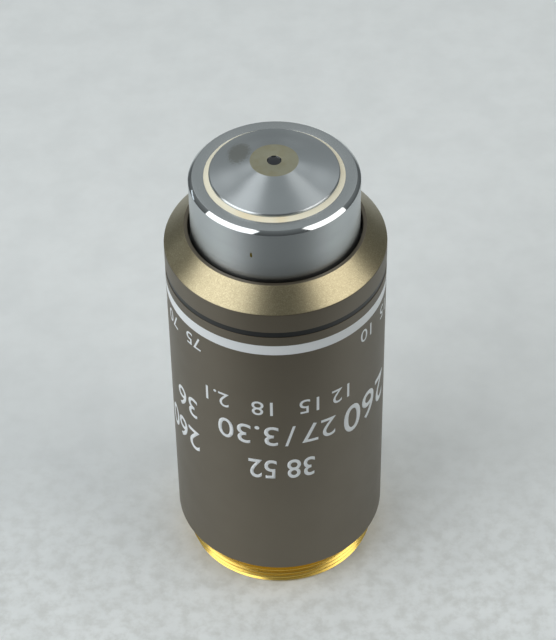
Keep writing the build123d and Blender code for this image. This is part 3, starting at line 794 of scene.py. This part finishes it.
class Finish:
    """One material, its Principled shader and the Object coordinates that its patterns read."""

    def __init__(self, name, color, metallic, roughness, **uniform):
        self.material = bpy.data.materials.new(name)
        self.material.use_nodes = True
        self.tree = self.material.node_tree
        self.shader = self.tree.nodes["Principled BSDF"]
        self.shader.inputs["Base Color"].default_value = color
        self.shader.inputs["Metallic"].default_value = metallic
        self.shader.inputs["Roughness"].default_value = roughness
        for label, value in uniform.items():
            self.shader.inputs[label.replace("_", " ")].default_value = value
        self.place = self.tree.nodes.new("ShaderNodeTexCoord").outputs["Object"]
        self.heights = []

    def group(self, group, **values):
        """Places a shared group, fed with Object coordinates."""
        node = self.tree.nodes.new("ShaderNodeGroup")
        node.node_tree = group
        self.tree.links.new(self.place, node.inputs["Vector"])
        for label, value in values.items():
            node.inputs[label.replace("_", " ")].default_value = value
        return node.outputs

    def mix_color(self, mask, color):
        """Lets a colour show where the mask is 1, over what the shader has now."""
        base = self.shader.inputs["Base Color"]
        mix = self.tree.nodes.new("ShaderNodeMix")
        mix.data_type = "RGBA"
        if base.is_linked:
            self.tree.links.new(base.links[0].from_socket, mix.inputs["A"])
        else:
            mix.inputs["A"].default_value = base.default_value
        mix.inputs["B"].default_value = color
        self.tree.links.new(mask, mix.inputs["Factor"])
        self.tree.links.new(mix.outputs["Result"], base)

    def vary(self, label, mask, low, high):
        """Runs a float socket from low to high over a mask."""
        self.tree.links.new(map_range(self.tree, mask, 0.0, 1.0, low, high), self.shader.inputs[label])

    def bump(self, height, distance, strength=1.0):
        """Adds a bump of this depth in metres, over the bumps added before."""
        node = self.tree.nodes.new("ShaderNodeBump")
        node.inputs["Strength"].default_value = strength
        node.inputs["Distance"].default_value = distance
        self.tree.links.new(height, node.inputs["Height"])
        normal = self.shader.inputs["Normal"]
        if normal.is_linked:
            self.tree.links.new(normal.links[0].from_socket, node.inputs["Normal"])
        self.tree.links.new(node.outputs["Normal"], normal)

    def turned(self, amount):
        """Spreads highlights across the turning marks, which run round the optical axis."""
        around = self.tree.nodes.new("ShaderNodeVectorMath")
        around.operation = "CROSS_PRODUCT"
        around.inputs[0].default_value = (0, 0, 1)
        self.tree.links.new(self.place, around.inputs[1])
        unit = self.tree.nodes.new("ShaderNodeVectorMath")
        unit.operation = "NORMALIZE"
        self.tree.links.new(around.outputs["Vector"], unit.inputs[0])
        self.tree.links.new(unit.outputs["Vector"], self.shader.inputs["Tangent"])
        self.shader.inputs["Anisotropic"].default_value = amount
        self.shader.inputs["Anisotropic Rotation"].default_value = 0.25

    def limit(self, label, mask, value):
        """Sets a float socket that varies already to one value where the mask is 1."""
        socket = self.shader.inputs[label]
        mix = self.tree.nodes.new("ShaderNodeMix")
        self.tree.links.new(socket.links[0].from_socket, mix.inputs["A"])
        mix.inputs["B"].default_value = value
        self.tree.links.new(mask, mix.inputs["Factor"])
        self.tree.links.new(mix.outputs["Result"], socket)

    def noise(self, scale, detail=2.0, roughness=0.5):
        """A noise on Object coordinates."""
        return noise(self.tree, self.place, scale, detail, roughness)


# %% [markdown]
# The barrel's coating is a dark, satin bronze colour that reflects more than plain paint would, in a warm
# tint. The collar's cone is blasted instead, so it is a metal with a grain, and it glitters a little: its
# brightest and darkest grain cells are mixed into its colour as painted glints and painted shade.

# %% Barrel and collar
bronze = Finish("bronze_satin", rgb(54, 48, 36), 0.0, 0.45, Specular_IOR_Level=1.0, IOR=1.72,
                Specular_Tint=(1.0, 0.9, 0.74, 1.0))
grain = bronze.group(blasted_grain, Grain_Per_Metre=9000.0)
bronze.bump(grain["Height"], 0.000003)
bronze.vary("Roughness", bronze.noise(260.0, 3.0), 0.38, 0.47)
bronze.mix_color(map_range(bronze.tree, bronze.noise(120.0), 0.35, 0.75, 0.0, 0.3), rgb(60, 54, 40))
bronze.mix_color(bronze.group(dust_specks, Share=0.16, Size=0.06)["Mask"], rgb(170, 172, 168))

blasted = Finish("bronze_blasted", rgb(158, 149, 122), 1.0, 0.31)
grain = blasted.group(blasted_grain, Grain_Per_Metre=11000.0)
blasted.bump(grain["Height"], 0.000009)
# Painted glints on the brightest grain cells and painted shade on the darkest, mixed into the colour.
blasted.mix_color(map_range(blasted.tree, grain["Painted Sparkle"], 0.6, 1.0, 0.0, 0.3), rgb(206, 196, 164))
blasted.mix_color(map_range(blasted.tree, grain["Painted Sparkle"], 0.25, 0.0, 0.0, 0.3), rgb(110, 102, 80))

# %% [markdown]
# The two bands are enamel, which levels itself before it hardens, so its bump is very weak. The seal has
# yellowed in places.

# %% Enamels and seal
white_enamel = Finish("white_enamel", rgb(226, 231, 234), 0.0, 0.38)
white_enamel.bump(white_enamel.noise(1600.0), 0.000004)
white_enamel.mix_color(white_enamel.group(dust_specks, Share=0.2, Size=0.05)["Mask"], rgb(120, 122, 118))

black_enamel = Finish("black_enamel", rgb(18, 21, 22), 0.0, 0.36)
black_enamel.bump(black_enamel.noise(1800.0), 0.000004)

cream_seal = Finish("cream_seal", rgb(240, 235, 212), 0.0, 0.35)
stain = map_range(cream_seal.tree, cream_seal.noise(170.0, 2.0), 0.5, 0.75, 0.0, 0.6)
cream_seal.mix_color(stain, rgb(232, 210, 160))

# %% [markdown]
# The steel of the nose is turned, and so its highlights stretch across the marks. The edge chamfer was
# polished afterwards and mirrors. A small dark mark sits on the sleeve and a smudge on the cone. The land
# round the lens has an olive coating.

# %% Steel of the nose
CHAMFER_MARGIN = 0.02
satin_steel = Finish("satin_steel", rgb(188, 193, 195), 1.0, 0.26)
satin_steel.turned(0.8)
marks = satin_steel.group(turning_marks, Marks_Per_Metre=14000.0)
satin_steel.bump(marks["Height"], 0.0000005)
satin_steel.vary("Roughness", marks["Broad"], 0.24, 0.28)
polished = satin_steel.group(ring_place, Inner=(NOSE_R - NOSE_CHAMFER + CHAMFER_MARGIN) * MM,
                             Bottom=(nose_face_z - NOSE_CHAMFER + CHAMFER_MARGIN) * MM)["Mask"]
satin_steel.limit("Roughness", polished, 0.07)

NOSE_MARK = (-2.92, -9.98, 58.06)
mark = satin_steel.group(spot, Point=[c * MM for c in NOSE_MARK], Shape=(2.4, 2.4, 0.8),
                         Size=0.0004)["Mask"]
satin_steel.mix_color(mark, rgb(120, 104, 40))

turned_steel = Finish("turned_steel", rgb(186, 192, 195), 1.0, 0.3)
turned_steel.turned(0.85)
marks = turned_steel.group(turning_marks, Marks_Per_Metre=16000.0)
turned_steel.bump(marks["Height"], 0.000001)
turned_steel.vary("Roughness", marks["Broad"], 0.26, 0.34)
polished = turned_steel.group(ring_place, Inner=(cone_edge_r - CONE_CHAMFER + FINE_EDGE) * MM)["Mask"]
turned_steel.limit("Roughness", polished, 0.3)

CONE_SMUDGE = (-4.21, 2.23, 63.1)
smudge = turned_steel.group(spot, Point=[c * MM for c in CONE_SMUDGE], Shape=(1.15, 0.75, 0.3),
                            Size=0.0018)["Mask"]
turned_steel.mix_color(smudge, rgb(160, 163, 160))

coated_steel = Finish("coated_steel", rgb(180, 178, 156), 1.0, 0.4)
coated_steel.bump(coated_steel.noise(3000.0), 0.000002)
coated_steel.mix_color(map_range(coated_steel.tree, coated_steel.noise(900.0, 3.0), 0.4, 0.7, 0.0, 0.6),
                       rgb(172, 166, 138))

# %% [markdown]
# The thread is plated in a gold colour. The pieces inside the barrel share one recipe, a turned surface
# whose roughness wavers with the marks.

# %% Gold and hidden metals
gold_brass = Finish("gold_brass", rgb(218, 186, 98), 1.0, 0.22)
gold_brass.bump(gold_brass.noise(5000.0), 0.000002)
gold_brass.vary("Roughness", gold_brass.noise(400.0, 3.0), 0.16, 0.26)


def hidden_metal(name, color, metallic, roughness):
    """A lathe-turned finish for a piece inside the barrel."""
    finish = Finish(name, color, metallic, roughness)
    marks = finish.group(turning_marks, Marks_Per_Metre=9000.0)
    finish.bump(marks["Height"], 0.000003)
    finish.vary("Roughness", marks["Broad"], roughness - 0.06, roughness + 0.06)
    return finish


tube_brass = hidden_metal("tube_brass", rgb(206, 178, 116), 1.0, 0.34)
guide_bronze = hidden_metal("guide_bronze", rgb(196, 158, 112), 1.0, 0.3)
black_brass = hidden_metal("black_brass", rgb(38, 38, 38), 0.2, 0.62)
screw_steel = hidden_metal("screw_steel", rgb(168, 170, 172), 1.0, 0.3)
spring_steel = hidden_metal("spring_steel", rgb(176, 178, 180), 1.0, 0.28)

# %% [markdown]
# The hidden lenses are clear. The front lens shows only its dark depth and a hard reflection, so it is a
# near-black gloss.

# %% Glass
lens_glass = Finish("lens_glass", rgb(236, 242, 244), 0.0, 0.02, Transmission_Weight=1.0, IOR=1.52)
front_glass = Finish("front_glass", rgb(20, 24, 32), 0.0, 0.03, IOR=1.7)

finishes = {
    "bronze_satin": bronze, "bronze_blasted": blasted, "white_enamel": white_enamel,
    "black_enamel": black_enamel, "cream_seal": cream_seal, "satin_steel": satin_steel,
    "turned_steel": turned_steel, "gold_brass": gold_brass, "tube_brass": tube_brass,
    "guide_bronze": guide_bronze, "black_brass": black_brass, "screw_steel": screw_steel,
    "spring_steel": spring_steel, "lens_glass": lens_glass,
}
print("finishes by slot:", len(finishes))

# %% [markdown]
# Every CAD node gets its finish by its slot, and each piece made here takes the slot of the node that it
# replaces. Two pieces carry a second finish on some of their faces: the collar is blasted only on its
# cone, and the front cone is coated only on its land.

# %% Give every piece its finish
def dress(piece, finish):
    """Puts one finish on a piece."""
    piece.data.materials.clear()
    piece.data.materials.append(finish.material)


for name, node in frame["nodes"].items():
    dress(node, finishes[node_slot[name]])
for piece in bpy.data.objects:
    for name in piece.get("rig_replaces", []):
        dress(piece, finishes[node_slot[name]])
for piece in prints:
    dress(piece, white_enamel)
dress(front_lens, front_glass)


def second_finish(piece, finish, chosen):
    """Gives the faces that a test picks by their centre another finish than the rest."""
    piece.data.materials.append(finish.material)
    for face in piece.data.polygons:
        if chosen(face.center.xy.length / MM, face.center.z / MM):
            face.material_index = len(piece.data.materials) - 1


second_finish(front_collar, bronze, lambda radius, z: z < collar_edge_z or radius < lip_r)
second_finish(front_cone, coated_steel, lambda radius, z: radius < LAND_R and z > tip_z - FINE_EDGE)
print("collar and cone finishes:", front_collar.data.materials.keys(), front_cone.data.materials.keys())

# %% [markdown]
# ## Floor and light
#
# The objective stands on a pale, finely mottled cloth. Near the objective it is as light as in the
# photograph. Beyond the picture's lower edge a painted shadow darkens the cloth towards the viewer, and far
# away painted shade darkens it too. Both are painted into the cloth's colour because a satin barrel seen
# from above reflects the floor before it.

# %% Floor
COARSE_MOTTLE, FINE_MOTTLE = 160.0, 520.0
PAINTED_SHADOW_START, PAINTED_SHADOW_END = 0.028, 0.07
FAR_SHADE_START, FAR_SHADE_END = 0.17, 0.4
FLOOR_HALF = 1.5
bm = bmesh.new()
bmesh.ops.create_grid(bm, x_segments=8, y_segments=8, size=FLOOR_HALF)
mesh = bpy.data.meshes.new("floor")
bm.to_mesh(mesh)
bm.free()
floor = bpy.data.objects.new("floor", mesh)
bpy.context.scene.collection.objects.link(floor)
cloth = Finish("floor_cloth", rgb(231, 236, 237), 0.0, 0.45)
split = cloth.tree.nodes.new("ShaderNodeSeparateXYZ")
cloth.tree.links.new(cloth.place, split.inputs[0])
coarse = map_range(cloth.tree, cloth.noise(COARSE_MOTTLE, 2.0), 0.3, 0.75, 0.0, 0.6)
cloth.mix_color(coarse, rgb(222, 227, 228))
nearness = map_range(cloth.tree, split.outputs["Y"], 0.02, -0.02, 0.1, 1.0)
fine = map_range(cloth.tree, cloth.noise(FINE_MOTTLE, 3.0, 0.6), 0.36, 0.72)
mottle = math_node(cloth.tree, "MULTIPLY", fine, nearness)
cloth.mix_color(mottle, rgb(211, 215, 214))
# Painted shadow: beyond the picture's lower edge the cloth's colour darkens towards the viewer, like the
# shadow of the camera and photographer.
painted_shadow_reach = math_node(cloth.tree, "MULTIPLY", split.outputs["Y"], -0.996)
painted_shadow_reach = math_node(cloth.tree, "MULTIPLY_ADD", split.outputs["X"], 0.09, painted_shadow_reach)
cloth.mix_color(map_range(cloth.tree, painted_shadow_reach, PAINTED_SHADOW_START, PAINTED_SHADOW_END, 0.0, 0.75), rgb(60, 62, 62))
# Painted shade: far from the objective the cloth's colour darkens.
far_shade_distance = cloth.tree.nodes.new("ShaderNodeVectorMath")
far_shade_distance.operation = "LENGTH"
cloth.tree.links.new(cloth.place, far_shade_distance.inputs[0])
distance = far_shade_distance.outputs["Value"]
cloth.mix_color(map_range(cloth.tree, distance, FAR_SHADE_START, FAR_SHADE_END, 0.0, 0.8), rgb(90, 94, 96))
dress(floor, cloth)
print("floor edge in m:", 2 * FLOOR_HALF)

# %% [markdown]
# Two softboxes stand to the left and right of the camera with a dark gap between them: that gap is the
# dark centre of the polished chamfer. Weaker panels behind and overhead draw the far side of the collar
# and the seal, and a narrow cool window lights the left edge.

# %% Softboxes
def softbox(name, azimuth, elevation, distance, width, height, radiance, color=(1, 1, 1)):
    """A rectangular lamp that faces the nose. Azimuth is to the right of the camera's side."""
    lamp = bpy.data.lights.new(name, "AREA")
    lamp.shape = "RECTANGLE"
    lamp.size, lamp.size_y = width, height
    lamp.energy = radiance * math.pi * width * height
    lamp.color = color
    box = bpy.data.objects.new(name, lamp)
    bpy.context.scene.collection.objects.link(box)
    around, up = math.radians(azimuth), math.radians(elevation)
    towards = Vector((math.sin(around) * math.cos(up), -math.cos(around) * math.cos(up), math.sin(up)))
    box.location = towards * distance + Vector((0, 0, AIM_HEIGHT))
    box.rotation_mode = "QUATERNION"
    box.rotation_quaternion = (-towards).to_track_quat("-Z", "Y")
    print(name, "power in W:", round(lamp.energy, 2))


softbox("softbox_left", -63, 29, 0.6, 0.60, 0.68, 2.3)
softbox("softbox_right", 72, 38, 0.6, 0.47, 0.36, 2.4, (1.0, 0.97, 0.93))
softbox("window_left", -119, 10, 0.9, 0.18, 0.06, 1.4, (0.85, 0.93, 1.0))
softbox("panel_left", -143, 43, 0.8, 0.27, 0.25, 0.42)
softbox("panel_right", 143, 43, 0.8, 0.27, 0.25, 0.36)
softbox("ceiling_left", -132, 68, 0.8, 0.2, 0.22, 0.9)
softbox("ceiling_right", 131, 62, 0.8, 0.2, 0.2, 0.5)

# %% [markdown]
# The world fills in softly from above and behind, and is nearly dark below.

# %% World
SKY_LEAN = (0, 0.45, 0.89)
SKY_DARK, SKY_LIGHT = 0.1, 0.44

world = bpy.data.worlds.new("studio")
bpy.context.scene.world = world
world.use_nodes = True
tree = world.node_tree
background = tree.nodes["Background"]
direction = tree.nodes.new("ShaderNodeTexCoord").outputs["Generated"]
facing = tree.nodes.new("ShaderNodeVectorMath")
facing.operation = "DOT_PRODUCT"
tree.links.new(direction, facing.inputs[0])
facing.inputs[1].default_value = SKY_LEAN
fill = map_range(tree, facing.outputs["Value"], 0.1, 0.95, SKY_DARK, SKY_LIGHT)
tree.links.new(fill, background.inputs["Strength"])
background.inputs["Color"].default_value = (0.95, 1.0, 1.0, 1.0)

bpy.context.scene.view_settings.view_transform = "Standard"
print("sky strength:", SKY_DARK, "to", SKY_LIGHT)
